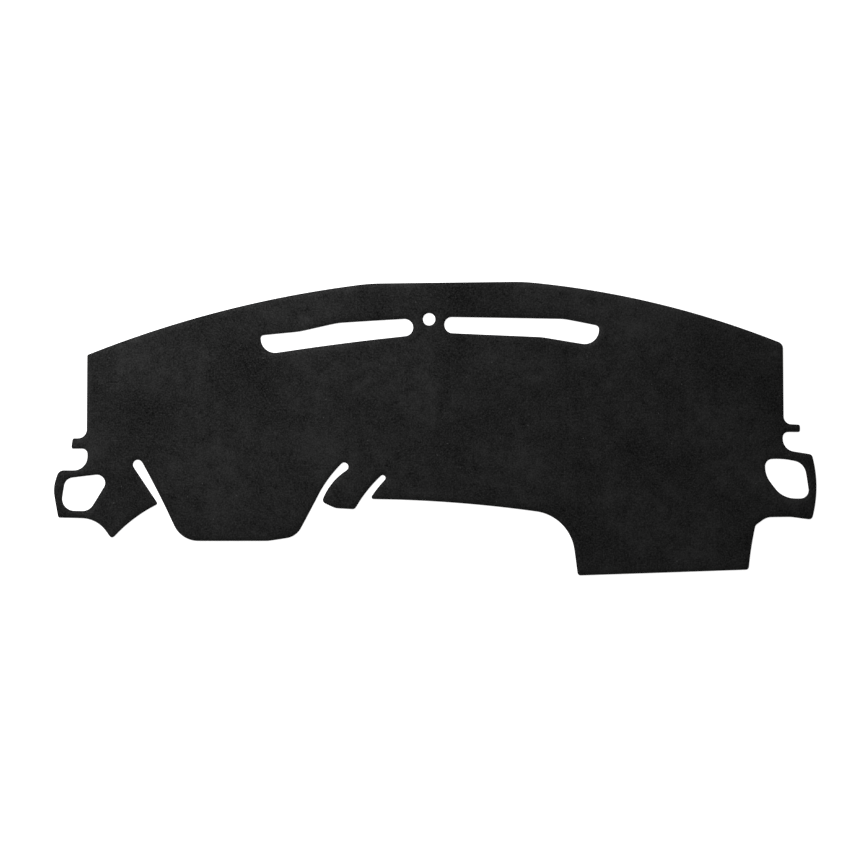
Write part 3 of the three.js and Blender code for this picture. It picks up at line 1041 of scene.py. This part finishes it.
@dataclass(frozen=True)
class KeyLamp:
    """The square soft lamp ahead of the mat, on the driver's side."""

    place: Triple = (-1.03, 1.52, 1.06)
    power: float = 61.0
    size: float = 0.6

    def build(self) -> None:
        """Hangs the lamp, facing the mat's middle."""
        data = bpy.data.lights.new("key_lamp", "AREA")
        data.energy = self.power
        data.size = self.size
        lamp = bpy.data.objects.new("key_lamp", data)
        lamp.location = self.place
        lamp.rotation_euler = (-Vector(self.place)).to_track_quat("-Z", "Y").to_euler()
        bpy.context.scene.collection.objects.link(lamp)


@dataclass
class Studio:
    """The pale floor, the lamp, the even light all round and the camera."""

    floor_reach: float = 6.0
    floor_gap: float = 0.0002
    even_light: float = 0.3
    lens: float = 85.0
    film: float = 36.0

    def floor(self) -> None:
        """Lays the floor just under the mat."""
        signs = ((-1, -1), (1, -1), (1, 1), (-1, 1))
        corners = [(x * self.floor_reach, y * self.floor_reach, -self.floor_gap) for x, y in signs]
        mesh = bpy.data.meshes.new("floor")
        mesh.from_pydata(corners, [], [range(len(corners))])
        mesh.materials.append(PaleFloor().material())
        floor = bpy.data.objects.new("floor", mesh)
        bpy.context.scene.collection.objects.link(floor)
        floor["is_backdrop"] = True

    def world(self) -> None:
        """Lights the mat evenly from all round, behind a white background."""
        world = bpy.data.worlds.new("studio")
        world.use_nodes = True
        canvas = Canvas(world.node_tree)
        background = world.node_tree.nodes["Background"]
        background.inputs["Color"].default_value = (1.0, 1.0, 1.0, 1.0)
        seen = canvas.add("ShaderNodeLightPath", {}, {}).output("Is Camera Ray")
        canvas.feed(background, {"Strength": self.even_light + seen * (1 - self.even_light)})
        bpy.context.scene.world = world

    def camera(self, mat_width: float, hole: Pair) -> None:
        """Sets the camera straight above the mat, framed as the photograph is.

        Args:
            mat_width: How wide the mat is.
            hole: The place of the sensor hole's centre.
        """
        photo = PhotoFrame()
        scale = mat_width / photo.mat_width
        across = hole[0] + (photo.side / 2 - photo.hole_across) * scale
        ahead = hole[1] - (photo.side / 2 - photo.hole_down) * scale
        data = bpy.data.cameras.new("camera")
        data.lens = self.lens
        data.sensor_width = self.film
        camera = bpy.data.objects.new("camera", data)
        camera.location = (across, ahead, photo.side * scale * self.lens / self.film)
        bpy.context.scene.collection.objects.link(camera)
        bpy.context.scene.camera = camera
        log.info("camera: %.4f, %.4f, %.4f", *camera.location)

    def build(self, mat_width: float, hole: Pair) -> None:
        """Sets up everything that isn't the mat.

        Args:
            mat_width: How wide the mat is.
            hole: The place of the sensor hole's centre.
        """
        self.floor()
        KeyLamp().build()
        self.world()
        self.camera(mat_width, hole)
        bpy.context.scene.view_settings.view_transform = "Standard"


def main() -> None:
    """Builds the mat and then its studio."""
    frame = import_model()
    cad_box = [list(corner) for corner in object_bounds()]
    fabric = SheetFabric()
    outline = CutOutline.of_node(frame["nodes"][CAD_NODE], fabric.edge_step)
    log.info("outline: %d loops, %d points", len(outline.loops), sum(len(loop) for loop in outline.loops))
    sheet = fabric.build(outline)
    log.info("%s: %d triangles", sheet.name, len(sheet.data.polygons))
    Studio().build(cad_box[1][0] - cad_box[0][0], outline.smallest_hole())


if __name__ == "__main__":
    main()
